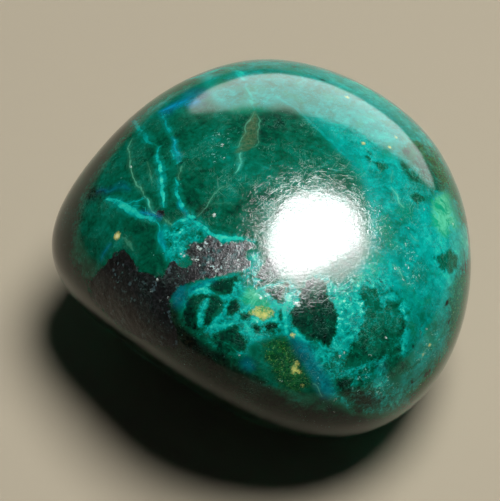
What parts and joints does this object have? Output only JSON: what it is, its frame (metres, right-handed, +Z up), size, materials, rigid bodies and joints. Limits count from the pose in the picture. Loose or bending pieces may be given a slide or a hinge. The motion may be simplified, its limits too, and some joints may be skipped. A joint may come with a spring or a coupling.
{
  "type": "tumbled chrysocolla stone",
  "caption": "Tumbled, polished chrysocolla pebble of rounded teardrop shape that rests on a small flat spot, for display or handling.",
  "frame": {"origin": "centre of the pebble's bounding box, on the plane of the flat spot that it rests on", "axes": "+Z up, +X towards the broad right end as seen in the picture, away from the pointed left end, and +Y towards the back of the stone, its longest side"},
  "size_m": [0.0342, 0.0362, 0.0221],
  "materials": {
    "polished_chrysocolla": "tumble-polished gloss with fine scratches; deep green stone with turquoise veins, dark clasts and black granular matrix"
  },
  "bodies": {
    "root": {"chrysocolla_pebble": "polished_chrysocolla"}
  },
  "joints": []
}
